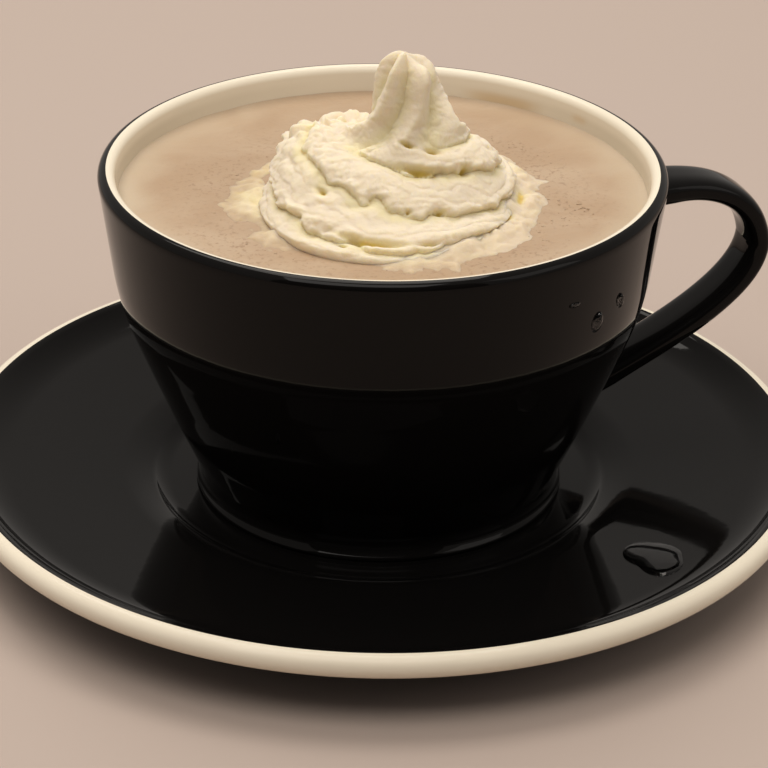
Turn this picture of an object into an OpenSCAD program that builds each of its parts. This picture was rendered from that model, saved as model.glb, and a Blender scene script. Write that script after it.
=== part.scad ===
// Hot chocolate in a wide cup on its saucer, topped with a piped swirl of whipped cream.
// The table is at Z = 0, the cup's axis is Z and the handle points along +X.

/* [Saucer] */
// Outer radius of the saucer
saucer_r = 83; // [69:0.5:100]
// Height of the saucer's rim above the table
saucer_h = 15; // [12.5:0.1:18]
// Thickness of the saucer's wall
saucer_wall = 4.4; // [3.6:0.1:5.3]
// Thickness of the rolled edge
edge_t = 4.6; // [3.8:0.1:5.6]
// Height of the level well that the cup stands in
well_h = 6.6; // [5.5:0.1:8]
// Free ring of level well around the cup's foot
well_gap = 5.8; // [3:0.1:8]
// Width of the saucer's foot ring
ring_w = 4.2; // [3:0.1:6]

/* [Cup] */
// Outer radius of the cup at its lip
cup_r = 53.4; // [44:0.1:65]
// Height of the cup from foot to lip
cup_h = 65.6; // [54:0.1:79]
// Thickness of the cup's wall
cup_wall = 3.3; // [2.7:0.1:4]
// How far the wall draws in from the lip to the shoulder
shoulder_in = 3.3; // [2:0.1:5]
// Distance from the lip down to the shoulder
shoulder_drop = 25.7; // [20:0.1:31]
// Length of the shoulder's bend on each side
bend = 7; // [4:0.5:9]
// Outer radius of the foot
foot_r = 35.7; // [29.5:0.1:43]
// How far the waist above the foot draws in
waist_in = 1.2; // [0.5:0.1:2]
// Height of the waist above the foot
waist_h = 3.4; // [2.5:0.1:4.5]
// Depth of the hollow under the foot
foot_hollow = 1.8; // [1:0.1:2.5]
// Thickness of the cup's floor
floor_t = 5.6; // [4.5:0.1:7]

/* [Handle] */
// Width of the strap
handle_w = 10.7; // [8.8:0.1:13]
// Thickness of the strap
handle_t = 4.6; // [3.8:0.1:5.6]
// How far the strap's middle stands out from the lip
handle_out = 23; // [19:0.1:28]
// Distance from the lip down to the upper root
handle_top_drop = 11.3; // [9:0.1:14]
// Distance from the upper root down to the widest point
handle_drop = 11.8; // [9:0.1:14.5]
// Height of the lower root above the foot
handle_low = 14; // [11.5:0.1:17]

/* [Drink] */
// Distance from the lip down to the drink
drink_drop = 5.6; // [4.6:0.1:9]

/* [Whipped cream] */
// Height of the swirl above the drink
cream_h = 29; // [24:0.5:35]
// Mean radius of the swirl's foot
cream_r = 24; // [20:0.5:29]
// Mean width of the melted fringe around the swirl
fringe_w = 6.5; // [5:0.1:8]
// Radius of the part that has sunk into the drink
sunk_r = 20; // [16.5:0.5:24]
// Depth that the swirl has sunk to
sunk_d = 9; // [7.5:0.5:11]
// Strands left by the nozzle around the swirl
strands = 4; // [3:1:6]
// Strands that lie one above another up the cone
stack = 3.07; // [2.5:0.01:3.7]
// Depth of the creases between the strands
crease = 2; // [1.6:0.1:2.4]
// Clearance between the cream and the drink
cream_gap = 0.1; // [0.05:0.05:0.2]

/* [Hidden] */
$fn = 96;

level = well_h + cup_h - drink_drop;        // height of the drink
well_r = foot_r + well_gap;                 // radius of the level well
heel_r = foot_r - waist_in;                 // radius of the waist
shoulder = [cup_r - shoulder_in, cup_h - shoulder_drop];
heel = [heel_r, waist_h];
lip_r = cup_wall / 2;                       // the lip is a full round
lip_side = [cup_r, cup_h - lip_r];
inner_round = 12;                           // radius of the corner at the cup's floor
foot_w = 3.4;                               // width of the cup's foot ring
foot_round = 0.8;                           // small round under the foot
belly = 0.5;                                // bulge of the lower wall
mound_c = [2.8, -3.7];                      // middle of the swirl on the drink
facing = -17;                               // azimuth of the side that the first outline stands for
cream_n = 76;                               // points around the swirl
cream_m = 40;                               // rings up the swirl

// Points from a to c along a curve pulled towards b, without the last one
function curve(a, b, c, n) =
    [for (i = [0:n - 1]) let (t = i / n) (1 - t) * (1 - t) * a + 2 * t * (1 - t) * b + t * t * c];
// Point at t on a curve from a to d pulled towards b and c
function cubic(a, b, c, d, t) =
    pow(1 - t, 3) * a + 3 * t * pow(1 - t, 2) * b + 3 * t * t * (1 - t) * c + pow(t, 3) * d;
// Points on an arc about c, from angle a to angle b
function arc(c, r, a, b, n) = [for (i = [0:n]) let (w = a + (b - a) * i / n) c + r * [cos(w), sin(w)]];
// Unit direction from a to b, and the same turned a quarter to the left
function dir(a, b) = (b - a) / norm(b - a);
function left(v) = [-v[1], v[0]];
// Corner a-b-c moved to its left by t on both sides
function inset(a, b, c, t) =
    let (p = left(dir(a, b)), q = left(dir(b, c))) b + t * (p + q) / (1 + p * q);

// The cup's outer wall from the waist up to the side of the lip
function wall_curve(low, mid, high, bulge) =
    let (bend_low = mid + bend * dir(mid, low),
         bend_high = mid + bend * dir(mid, high),
         pull = (low + bend_low) / 2 + bulge * [1, 0])
    concat(curve(low, pull, bend_low, 6), curve(bend_low, mid, bend_high, 8), [bend_high, high]);

// Outer radius of the cup at a height above its foot
function wall_r(z) = lookup(z, [[heel[1], heel[0]], [shoulder[1], shoulder[0]], [lip_side[1], lip_side[0]]]);

outer_line = concat(
    [[0, foot_hollow], [foot_r - foot_w - foot_hollow, foot_hollow], [foot_r - foot_w, 0]],
    arc([foot_r - foot_round, foot_round], foot_round, -90, 0, 4),
    wall_curve(heel, shoulder, lip_side, belly),
    arc([cup_r - lip_r, cup_h - lip_r], lip_r, 15, 180, 10),
    [[0, cup_h - lip_r]]);

inner_shoulder = inset(heel, shoulder, lip_side, cup_wall);
inner_slope = dir(heel, shoulder);
inner_corner = inner_shoulder - inner_slope * (inner_shoulder[1] - floor_t) / inner_slope[1];
inner_lip = [cup_r - cup_wall, cup_h - lip_r];

// The cup's hollow, which the drink fills up to its level
hollow_line = concat(
    [[0, floor_t]],
    curve(inner_corner - [inner_round, 0], inner_corner, inner_corner + inner_round * inner_slope, 8),
    wall_curve(inner_corner + inner_round * inner_slope, inner_shoulder, inner_lip, 0),
    [[cup_r - cup_wall, cup_h + 1], [0, cup_h + 1]]);

// The strap's middle line in the plane of the handle
root_top = [wall_r(cup_h - handle_top_drop) - cup_wall / 2, cup_h - handle_top_drop];
root_low = [wall_r(handle_low) - cup_wall / 2, handle_low];
reach = [cup_r + handle_out, cup_h - handle_top_drop - handle_drop];
function strap_at(t) =
    t < 0.5
    ? cubic(root_top, root_top + [9.5, 2.2], [reach[0] - 1.9, root_top[1] + 1.2], reach, 2 * t)
    : cubic(reach, reach - [0, 9.5], root_low + [24, 10.6], root_low, 2 * t - 1);
// The strap swells towards its two roots
function flare(t) = exp(-pow(t / 0.08, 2)) + exp(-pow((1 - t) / 0.1, 2));
// A rounded oblong: n points, w across and h thick
function oblong(w, h, n) =
    [for (i = [0:n - 1]) let (a = 360 * i / n, c = cos(a), s = sin(a))
        [w / 2 * sign(c) * pow(abs(c), 0.7), h / 2 * sign(s) * pow(abs(s), 0.8)]];

// Rings of points joined into a closed skin, with a flat or pointed cap at each end
module skin(rings) {
    n = len(rings[0]);
    m = len(rings);
    points = [for (ring = rings) each ring];
    sides = [for (j = [0:m - 2], i = [0:n - 1]) let (k = (i + 1) % n)
        each [[j * n + i, (j + 1) * n + k, j * n + k], [j * n + i, (j + 1) * n + i, (j + 1) * n + k]]];
    first = [for (i = [0:n - 1]) i];
    last = [for (i = [0:n - 1]) m * n - 1 - i];
    polyhedron(points, concat(sides, [first, last]), convexity = 8);
}

module strap() {
    steps = 32;
    rings = [for (j = [0:steps])
        let (t = j / steps,
             p = strap_at(t),
             d = dir(strap_at(max(t - 0.002, 0)), strap_at(min(t + 0.002, 1))),
             up = left(d),
             section = oblong(handle_w * (1 + 0.25 * flare(t)), handle_t * (1 + 0.6 * flare(t)), 16))
        [for (q = section) [p[0] + up[0] * q[1], q[0], p[1] + up[1] * q[1]]]];
    skin(rings);
}

module saucer() {
    rim = [saucer_r - edge_t / 2, saucer_h - edge_t / 2];
    ring_out = well_r + ring_w;
    color([0.03, 0.03, 0.03])
    rotate_extrude()
    polygon(concat(
        [[0, well_h - saucer_wall], [ring_out - 2 * ring_w, well_h - saucer_wall]],
        [[ring_out - ring_w - 1, 0], [ring_out - 1, 0]],
        curve([ring_out, 1], [ring_out + 0.5, well_h - saucer_wall],
              [ring_out + 6, well_h - saucer_wall + 1], 6),
        curve([ring_out + 6, well_h - saucer_wall + 1], [rim[0] - 14, rim[1] - edge_t / 2 - 3.2],
              rim + [-1, -edge_t / 2], 8),
        arc(rim, edge_t / 2, -90, 90, 14),
        curve(rim + [-1, edge_t / 2 - 0.1], [rim[0] - 14, rim[1] + edge_t / 2 - 2.6],
              [well_r + 5, well_h + 0.5], 10),
        curve([well_r + 5, well_h + 0.5], [well_r + 1, well_h], [well_r - 2, well_h], 5),
        [[well_r - 2, well_h], [0, well_h]]));
}

module cup() {
    color([0.04, 0.04, 0.04])
    translate([0, 0, well_h])
    difference() {
        union() {
            rotate_extrude() polygon(outer_line);
            strap();
        }
        rotate_extrude() polygon(hollow_line);
    }
}

// The sunk part of the cream, a round-bottomed plug, larger by the gap where it cuts the drink
module sunk(gap) {
    translate([mound_c[0], mound_c[1], level])
    rotate_extrude()
    polygon(concat(
        [[0, 1], [0, -sunk_d - gap]],
        [for (a = [10:10:90]) [(sunk_r + gap) * sin(a), -(sunk_d + gap) * cos(a)]],
        [[sunk_r + gap, 1]]));
}

module drink() {
    color([0.76, 0.63, 0.50])
    difference() {
        translate([0, 0, well_h])
        intersection() {
            rotate_extrude() polygon(hollow_line);
            cylinder(h = cup_h - drink_drop, r = cup_r);
        }
        sunk(cream_gap);
    }
}

// Outline of the swirl on four sides, row by row, as shares of its foot radius and its height
side_right = [
    [0.82, 0.03], [0.82, 0.06], [0.80, 0.11], [0.74, 0.18], [0.64, 0.29], [0.50, 0.40],
    [0.37, 0.48], [0.25, 0.61], [0.19, 0.74], [0.18, 0.83], [0.10, 0.90], [0.0, 1.0]];
side_back = [
    [0.96, 0.03], [0.92, 0.06], [0.83, 0.14], [0.69, 0.21], [0.54, 0.27], [0.42, 0.32],
    [0.32, 0.41], [0.24, 0.57], [0.18, 0.72], [0.13, 0.86], [0.07, 0.95], [0.0, 1.0]];
side_left = [
    [0.98, 0.03], [0.97, 0.08], [0.94, 0.19], [0.88, 0.30], [0.78, 0.40], [0.57, 0.41],
    [0.38, 0.42], [0.24, 0.54], [0.18, 0.70], [0.12, 0.85], [0.06, 0.97], [0.0, 1.0]];
side_front = [
    [1.25, 0.03], [1.15, 0.05], [0.98, 0.10], [0.80, 0.19], [0.63, 0.28], [0.46, 0.36],
    [0.31, 0.46], [0.22, 0.58], [0.17, 0.73], [0.13, 0.86], [0.07, 0.96], [0.0, 1.0]];
// Share of the stack passed at each row: up the cone, then back as the strands turn up into the peak
passed = [
    [0, 0], [1, 0.16], [2, 0.33], [3, 0.50], [4, 0.65], [5, 0.86], [5.8, 1.0], [6.4, 0.96],
    [7.8, 0.84], [9.5, 0.77], [11, 0.75]];
// Point at s on a smooth line through the points p
function line_at(p, s) =
    let (n = len(p) - 1, k = min(floor(s * n), n - 1), t = s * n - k,
         a = p[max(k - 1, 0)], b = p[k], c = p[k + 1], d = p[min(k + 2, n)])
    0.5 * (2 * b + t * (c - a) + t * t * (2 * a - 5 * b + 4 * c - d) + t * t * t * (3 * b - a - 3 * c + d));
// Outline at s up the swirl and angle a around it, which meets the four sides' outlines
function outline(s, a) =
    let (r = line_at(side_right, s), b = line_at(side_back, s),
         l = line_at(side_left, s), f = line_at(side_front, s),
         mean = (r + b + l + f) / 4,
         skew = 0.09 * sin(2 * a) * max(0, 1 - 2.2 * s))
    mean + (r - l) / 2 * cos(a) + (b - f) / 2 * sin(a) + (r + l - b - f) / 4 * cos(2 * a)
    + [skew, 0];
// Point at radius r and angle a round the swirl, at height h above the drink
function ring_point(r, a, h) =
    [mound_c[0] + r * cos(a + facing), mound_c[1] + r * sin(a + facing), level + h];
// 0 on the cone and 1 on the peak
function on_peak(s) = min(1, max(0, (11 * s - 4.9) / 1.3));
// Place across its strand, from 0 at the lower crease to 1 at the upper one
function across(s, a) =
    let (bunch = 0.3 - 0.46 * on_peak(s),
         phase = strands * a / 360 - bunch * cos(a) + stack * lookup(11 * s, passed) + 0.5)
    phase - floor(phase);
// Bulge of a strand: on the cone it overhangs its lower crease, on the peak it is an even petal
function bulge(s, a) =
    let (f = across(s, a), p = on_peak(s))
    (1 - p) * 1.9 * pow(f, 0.35) * pow(1 - f, 0.8) + p * 1.2 * pow(sin(180 * f), 1.5);
// Width of the melted fringe at angle a, uneven all round
function melted(a) =
    fringe_w * (1 - 0.23 * cos(a) + 0.45 * cos(2 * a)
                + 0.10 * sin(3 * a + 40) + 0.08 * sin(5 * a) + 0.05 * sin(11 * a));

module cream() {
    around = [for (i = [0:cream_n - 1]) 360 * i / cream_n];
    // The fringe floats on the drink: its underside, its edge and its low top
    fringe = [[1, cream_gap], [1, 0.5], [0.9, 1.0], [0.5, 1.3]];
    sunk_rings = [for (w = [3:12:87], h = [-(sunk_d - cream_gap) * cos(w)])
        [for (a = around) ring_point((sunk_r - cream_gap) * sin(w), a, h)]];
    underside = [[for (a = around) ring_point(sunk_r - cream_gap, a, cream_gap)]];
    fringe_rings = [for (f = fringe)
        [for (a = around) ring_point(cream_r * outline(0, a)[0] + f[0] * melted(a), a, f[1])]];
    swirl_rings = [for (j = [0:cream_m])
        let (s = min(j / cream_m, 0.995), grow = min(1, s * 20) * min(1, (1 - s) * 5))
        [for (a = around)
            let (p = outline(s, a), out = crease * grow * bulge(s, a))
            ring_point(max(cream_r * p[0] + out, 0.15), a,
                       max(cream_h * p[1] - 0.3 * out * (1 - on_peak(s)), 0.8))]];
    color([0.96, 0.95, 0.84])
    skin(concat(sunk_rings, underside, fringe_rings, swirl_rings));
}

saucer();
cup();
drink();
cream();
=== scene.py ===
import bpy
import numpy as np
from mathutils import Matrix, Vector


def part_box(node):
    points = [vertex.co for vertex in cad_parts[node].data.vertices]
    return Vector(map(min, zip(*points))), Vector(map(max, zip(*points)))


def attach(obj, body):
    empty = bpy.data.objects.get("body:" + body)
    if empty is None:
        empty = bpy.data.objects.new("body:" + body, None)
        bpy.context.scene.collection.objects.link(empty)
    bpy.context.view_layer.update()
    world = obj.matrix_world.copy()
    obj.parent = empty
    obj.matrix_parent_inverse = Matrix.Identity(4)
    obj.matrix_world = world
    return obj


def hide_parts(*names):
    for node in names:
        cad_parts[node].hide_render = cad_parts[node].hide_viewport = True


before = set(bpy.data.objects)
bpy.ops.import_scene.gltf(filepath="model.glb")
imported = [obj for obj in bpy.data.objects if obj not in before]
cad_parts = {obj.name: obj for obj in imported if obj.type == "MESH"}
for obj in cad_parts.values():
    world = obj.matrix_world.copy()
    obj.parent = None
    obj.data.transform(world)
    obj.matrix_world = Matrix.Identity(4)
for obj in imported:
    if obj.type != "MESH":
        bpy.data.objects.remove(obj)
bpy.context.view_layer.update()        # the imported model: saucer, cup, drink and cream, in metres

mm = 0.001
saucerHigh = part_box("saucer")[1]
cupLow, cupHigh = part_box("cup")
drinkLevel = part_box("drink")[1].z       # height of the drink in the cup


# shapes as whole arrays

def quadCurve(a, b, c, n, last=False):
    # (1-t)^2 a + 2t(1-t) b + t^2 c, from a to c pulled towards b
    t = np.linspace(0, 1, n, endpoint=last)[:, None]
    return (1 - t) ** 2 * np.array(a) + 2 * t * (1 - t) * np.array(b) + t * t * np.array(c)


def cubicCurve(a, b, c, d, t):
    # (1-t)^3 a + 3t(1-t)^2 b + 3t^2(1-t) c + t^3 d, from a to d pulled towards b and then c
    return (1 - t) ** 3 * a + 3 * t * (1 - t) ** 2 * b + 3 * t * t * (1 - t) * c + t ** 3 * d


def arcLine(centre, radius, turns):
    # centre + radius (cos w, sin w), for the angles w in degrees
    w = np.radians(turns)
    return np.array(centre) + radius * np.stack([np.cos(w), np.sin(w)], 1)


def smoothLine(points, s):
    # uniform Catmull-Rom: each stretch is a cubic whose slopes join the points beside it
    p = np.array(points, float)
    n = len(p) - 1
    k = np.clip(np.floor(s * n).astype(int), 0, n - 1)
    t = (s * n - k)[..., None]
    a, b, c, d = p[np.maximum(k - 1, 0)], p[k], p[k + 1], p[np.minimum(k + 2, n)]
    second, third = 2 * a - 5 * b + 4 * c - d, 3 * b - a - 3 * c + d
    return 0.5 * (2 * b + t * (c - a) + t ** 2 * second + t ** 3 * third)


def unit(v):        # v over its own length
    return v / np.linalg.norm(v, axis=-1, keepdims=True)


def ease(x, low, high):     # 3t^2 - 2t^3 between low and high, flat outside
    t = np.clip((x - low) / (high - low), 0, 1)
    return t * t * (3 - 2 * t)


def bell(x, middle, width, power=2):        # exp(-|(x - middle) / width|^power)
    return np.exp(-np.abs((x - middle) / width) ** power)


def turnFrom(angle, degrees):       # the angle (radians) measured from a direction in degrees, -180 to 180
    return (np.degrees(angle) - degrees + 180) % 360 - 180


def grain(p, cell, seed):
    # random values on a lattice of that cell, blended smoothly between its corners
    table = np.random.default_rng(seed).uniform(-1, 1, (32, 32, 32))
    q = p / cell
    i = np.floor(q).astype(int)
    f = q - i
    f = f * f * (3 - 2 * f)
    total = 0
    for corner in np.ndindex(2, 2, 2):
        c = np.array(corner)
        w = np.prod(np.where(c == 1, f, 1 - f), axis=-1)
        total = total + w * table[tuple(((i + c) % 32)[..., k] for k in range(3))]
    return total


def roughness(p, cell, octaves, seed):      # grain at halving cells, each half as strong
    return sum(grain(p, cell / 2 ** k, seed + k) / 2 ** k for k in range(octaves))


def grains(p, layers, seed):        # a sum of grains, each with its own strength and cell
    return sum(strength * grain(p, cell, seed + k) for k, (strength, cell) in enumerate(layers))


def lumps(p, layers, seed):     # the same sum of the grains' absolute values, which gives rounded heaps
    return sum(strength * np.abs(grain(p, cell, seed + k)) for k, (strength, cell) in enumerate(layers))


def addMesh(name, points, faces):       # a smooth-shaded object at the origin
    mesh = bpy.data.meshes.new(name)
    mesh.from_pydata(points.tolist(), [], faces)
    mesh.polygons.foreach_set("use_smooth", np.ones(len(mesh.polygons), bool))
    mesh.update()
    piece = bpy.data.objects.new(name, mesh)
    bpy.context.scene.collection.objects.link(piece)
    return piece


def ringQuads(m, n):        # the quads that join m rings of n points each
    j, i = np.meshgrid(np.arange(m - 1), np.arange(n), indexing="ij")
    k = (i + 1) % n
    return np.stack([j * n + i, j * n + k, (j + 1) * n + k, (j + 1) * n + i], -1).reshape(-1, 4)


def skin(name, rings):
    # rings of points joined by quads, with a fan to the middle of each end ring
    m, n = rings.shape[:2]
    i = np.arange(n)
    k = (i + 1) % n
    points = np.concatenate([rings.reshape(-1, 3), rings[:1].mean(1), rings[-1:].mean(1)])
    first = np.stack([k, i, np.full(n, m * n)], 1)
    last = np.stack([(m - 1) * n + i, (m - 1) * n + k, np.full(n, m * n + 1)], 1)
    return addMesh(name, points, ringQuads(m, n).tolist() + first.tolist() + last.tolist())


def domes(name, centres, outs, ups, halfWidths, halfLengths, heights, rings, around):
    # caps on a face: width w s cos a, length l s sin a, height h sqrt(1 - s^2), over a sunk flat foot
    s = np.concatenate([[0.02, 1.0], np.sin(np.linspace(np.pi / 2, 0.02, rings))])
    foot = np.arange(len(s)) < 2
    lift = np.where(foot, -0.35, np.sqrt(np.maximum(0, 1 - s ** 2)))
    a = np.linspace(0, 2 * np.pi, around, endpoint=False)
    side = np.cross(ups, outs) * halfWidths[:, None]
    wide = np.einsum("s,a,kx->ksax", s, np.cos(a), side)
    long = np.einsum("s,a,kx->ksax", s, np.sin(a), ups * halfLengths[:, None])
    rise = np.einsum("s,kx->ksx", lift, outs * heights[:, None])[:, :, None]
    caps = centres[:, None, None] + wide + long + rise
    count, m, n = caps.shape[:3]
    ends = np.stack([np.arange(n)[::-1], (m - 1) * n + np.arange(n)])
    step = np.arange(count)[:, None, None] * m * n
    quads = (ringQuads(m, n)[None] + step).reshape(-1, 4)
    return addMesh(name, caps.reshape(-1, 3), quads.tolist() + (ends[None] + step).reshape(-1, n).tolist())


def stripe(piece, name, values):        # one number per vertex, for a material to read
    whole = np.zeros(len(piece.data.vertices))
    whole[:values.size] = values.ravel()
    piece.data.attributes.new(name, "FLOAT", "POINT").data.foreach_set("value", whole)


def lathe(outline, n):      # the outline (radius, height) carried round Z, at n angles
    a = np.linspace(0, 2 * np.pi, n, endpoint=False)
    r, z = outline[:, 0, None], outline[:, 1, None]
    return np.stack([r * np.cos(a), r * np.sin(a), np.broadcast_to(z, (len(outline), n))], -1)


def place(piece, material, node=None):       # material, body, and what the piece stands for
    piece.data.materials.append(material)
    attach(piece, "root")
    if node:
        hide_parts(node)


# materials

def newMaterial(name):      # a material, its node tree and its shader
    material = bpy.data.materials.new(name)
    material.use_nodes = True
    tree = material.node_tree
    return material, tree, tree.nodes["Principled BSDF"]


def addNode(tree, kind, **settings):
    # a node with its settings; a setting that starts with an underscore is the value of that socket
    node = tree.nodes.new("ShaderNode" + kind)
    for key, value in settings.items():
        if key.startswith("_"):
            node.inputs[key[1:].replace("_", " ")].default_value = value
        else:
            setattr(node, key, value)
    return node


def noiseOf(tree, scale, detail=3.0, rough=0.5):        # noise over Object coordinates
    coords = addNode(tree, "TexCoord")
    noise = addNode(tree, "TexNoise", _Scale=scale, _Detail=detail, _Roughness=rough)
    tree.links.new(coords.outputs["Object"], noise.inputs["Vector"])
    return noise


def rangeOf(tree, source, fromLow, fromHigh, toLow=0.0, toHigh=1.0):
    # one range carried to another by 3t^2 - 2t^3
    node = addNode(tree, "MapRange", interpolation_type="SMOOTHSTEP")
    setSockets(node, {"From Min": fromLow, "From Max": fromHigh, "To Min": toLow, "To Max": toHigh})
    tree.links.new(source, node.inputs["Value"])
    return node.outputs["Result"]


def setSockets(node, values):       # fixed values on the node's own sockets
    for name, value in values.items():
        node.inputs[name].default_value = value


def mathOf(tree, operation, a, b):      # a and b are numbers or the outputs of other nodes
    node = addNode(tree, "Math", operation=operation)
    for socket, value in zip(node.inputs, (a, b)):
        if isinstance(value, (int, float)):
            socket.default_value = value
        else:
            tree.links.new(value, socket)
    return node.outputs[0]


def mixColour(tree, factor, a, b, blend="MIX"):     # (1-f) a + f b, or a times b by the factor
    node = addNode(tree, "Mix", data_type="RGBA", blend_type=blend)
    sockets = [s for s in node.inputs if s.enabled]
    for socket, value in zip(sockets, (factor, a, b)):
        if isinstance(value, (int, float)):
            socket.default_value = value
        elif isinstance(value, tuple):
            socket.default_value = value + (1.0,)
        else:
            tree.links.new(value, socket)
    return [s for s in node.outputs if s.enabled][0]


def bumpOf(tree, shader, height, distance, strength):       # tilts the normal by the slope of the height
    node = addNode(tree, "Bump", _Distance=distance, _Strength=strength)
    tree.links.new(height, node.inputs["Height"])
    tree.links.new(node.outputs["Normal"], shader.inputs["Normal"])


glazeLook = {
    "black": (0.004, 0.0036, 0.0034),
    "cream": (0.81, 0.735, 0.595),
    "wallShade": (0.78, 0.755, 0.72),        # painted shade: what the inner wall's shade takes from the cream glaze, multiplied in
    "stain": (0.60, 0.44, 0.25),        # drink dried on the cream glaze
    "shine": (0.035, 0.065),    # roughness of the fired glaze, where it is clean and where it is smeared
    "shader": {"IOR": 1.22},
    "worn": 0.86,       # how much darker the patches of the cream glaze are
    "peel": 0.00003,    # height of its ripples, in metres
}


def glazeMaterial():
    # black glaze where paleGlaze is 0 and cream glaze where it is 1, with a slightly wandering edge,
    # painted shade multiplied into the inner wall by its own attribute, and dried drink by the stain
    # attribute
    material, tree, shader = newMaterial("glaze")
    pale = addNode(tree, "Attribute", attribute_name="paleGlaze")
    wander = noiseOf(tree, 60.0, 4.0)
    edge = mathOf(tree, "ADD", pale.outputs["Fac"], mathOf(tree, "MULTIPLY", wander.outputs["Fac"], 0.1))
    mask = rangeOf(tree, edge, 0.5, 0.6)
    tint = noiseOf(tree, 35.0, 5.0)
    paleColour = mixColour(tree, rangeOf(tree, tint.outputs["Fac"], 0.3, 0.75, 0.0, 0.35),
                           glazeLook["cream"], tuple(glazeLook["worn"] * c for c in glazeLook["cream"]))
    wallShade = addNode(tree, "Attribute", attribute_name="wallShade")
    # painted shade: the inner wall's cream glaze is darkened by multiplying in this colour
    wallShaded = mixColour(tree, wallShade.outputs["Fac"], paleColour, glazeLook["wallShade"], "MULTIPLY")
    stain = addNode(tree, "Attribute", attribute_name="stain")
    patchy = mathOf(tree, "MULTIPLY", stain.outputs["Fac"], rangeOf(tree, wander.outputs["Fac"], 0.3, 0.5))
    stained = mixColour(tree, patchy, wallShaded, glazeLook["stain"])
    colour = mixColour(tree, mask, glazeLook["black"], stained)
    tree.links.new(colour, shader.inputs["Base Color"])
    smear = noiseOf(tree, 90.0, 6.0, 0.6)
    rough = rangeOf(tree, smear.outputs["Fac"], 0.35, 0.8, *glazeLook["shine"])
    tree.links.new(rough, shader.inputs["Roughness"])
    setSockets(shader, glazeLook["shader"])
    peel = noiseOf(tree, 220.0, 2.0)
    bumpOf(tree, shader, peel.outputs["Fac"], glazeLook["peel"], 0.35)
    return material


drinkLook = {
    "body": (0.405, 0.28, 0.177),
    "dark": (0.32, 0.208, 0.126),
    "foam": (0.475, 0.354, 0.242),
    "froth": (0.52, 0.42, 0.30),        # pale froth by the wall
    "stretch": (1.0, 1.5, 1.0),         # of the clouds of foam
    "pitDepth": 0.00012,    # in metres
    "shader": {"Roughness": 0.42, "IOR": 1.36, "Subsurface Weight": 0.12,
               "Subsurface Radius": (0.9, 0.6, 0.35), "Subsurface Scale": 0.002},
}


def drinkMaterial():
    # milky drink with pale clouds of foam, froth by the wall and a darker, pitted ring around the cream
    material, tree, shader = newMaterial("drink")
    coords = addNode(tree, "TexCoord")
    stretch = addNode(tree, "Mapping")
    setSockets(stretch, {"Scale": drinkLook["stretch"]})
    streaks = addNode(tree, "TexNoise", _Scale=38.0, _Detail=5.0, _Roughness=0.55, _Distortion=0.5)
    tree.links.new(coords.outputs["Object"], stretch.inputs["Vector"])
    tree.links.new(stretch.outputs["Vector"], streaks.inputs["Vector"])
    ring = addNode(tree, "Attribute", attribute_name="pitted")
    specks = noiseOf(tree, 900.0, 3.0, 0.6)
    cloud = rangeOf(tree, streaks.outputs["Fac"], 0.35, 0.7, 0.0, 0.8)
    base = mixColour(tree, cloud, drinkLook["body"], drinkLook["foam"])
    pits = mathOf(tree, "MULTIPLY", rangeOf(tree, specks.outputs["Fac"], 0.52, 0.68), ring.outputs["Fac"])
    froth = addNode(tree, "Attribute", attribute_name="froth")
    frothed = mixColour(tree, froth.outputs["Fac"], base, drinkLook["froth"])
    colour = mixColour(tree, pits, frothed, drinkLook["dark"])
    tree.links.new(colour, shader.inputs["Base Color"])
    setSockets(shader, drinkLook["shader"])
    bumpOf(tree, shader, specks.outputs["Fac"], drinkLook["pitDepth"], 0.5)
    return material


creamLook = {
    "body": (0.78, 0.68, 0.52),
    "shade": (0.75, 0.66, 0.42),        # painted shade: the soft yellow that stands for the shade in the shallow grooves
    "crease": (0.68, 0.51, 0.12),       # painted shade: the yellow-green of the deep shade in the folds and gaps
    "melted": (0.49, 0.365, 0.24),      # where the fringe thins out into the drink
    "blotch": 0.93,         # how much darker its faint blotches are
    "crumb": 0.0003,        # height of the finest crumbs, in metres
    "shader": {"Roughness": 0.6, "IOR": 1.38, "Specular IOR Level": 0.3, "Subsurface Weight": 0.7,
               "Subsurface Radius": (0.9, 0.8, 0.45), "Subsurface Scale": 0.0026},
}


def creamMaterial():
    # matt cream with painted shade that turns its grooves, folds and gaps yellow, and which melts into the
    # drink by the melt attribute
    material, tree, shader = newMaterial("whippedCream")
    deep = addNode(tree, "Attribute", attribute_name="foldShade")
    blotch = noiseOf(tree, 120.0, 4.0)
    shade = rangeOf(tree, deep.outputs["Fac"], 0.0, 0.5)
    amount = rangeOf(tree, deep.outputs["Fac"], 0.45, 1.0)
    body = mixColour(tree, rangeOf(tree, blotch.outputs["Fac"], 0.35, 0.75, 0.0, 0.5), creamLook["body"],
                     tuple(creamLook["blotch"] * c for c in creamLook["body"]))
    shaded = mixColour(tree, shade, body, creamLook["shade"])
    colour = mixColour(tree, amount, shaded, creamLook["crease"])
    melt = addNode(tree, "Attribute", attribute_name="melt")
    melted = mixColour(tree, melt.outputs["Fac"], colour, creamLook["melted"])
    tree.links.new(melted, shader.inputs["Base Color"])
    setSockets(shader, creamLook["shader"])
    fine = noiseOf(tree, 1100.0, 4.0, 0.65)
    bumpOf(tree, shader, fine.outputs["Fac"], creamLook["crumb"], 0.5)
    return material


waterLook = {"Transmission Weight": 1.0, "Roughness": 0.02, "IOR": 1.33}


def waterMaterial():        # clear, smooth water
    material, _, shader = newMaterial("water")
    setSockets(shader, waterLook)
    return material


glaze = glazeMaterial()
drinkFinish = drinkMaterial()
creamFinish = creamMaterial()
water = waterMaterial()
print("materials made")

# saucer

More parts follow.
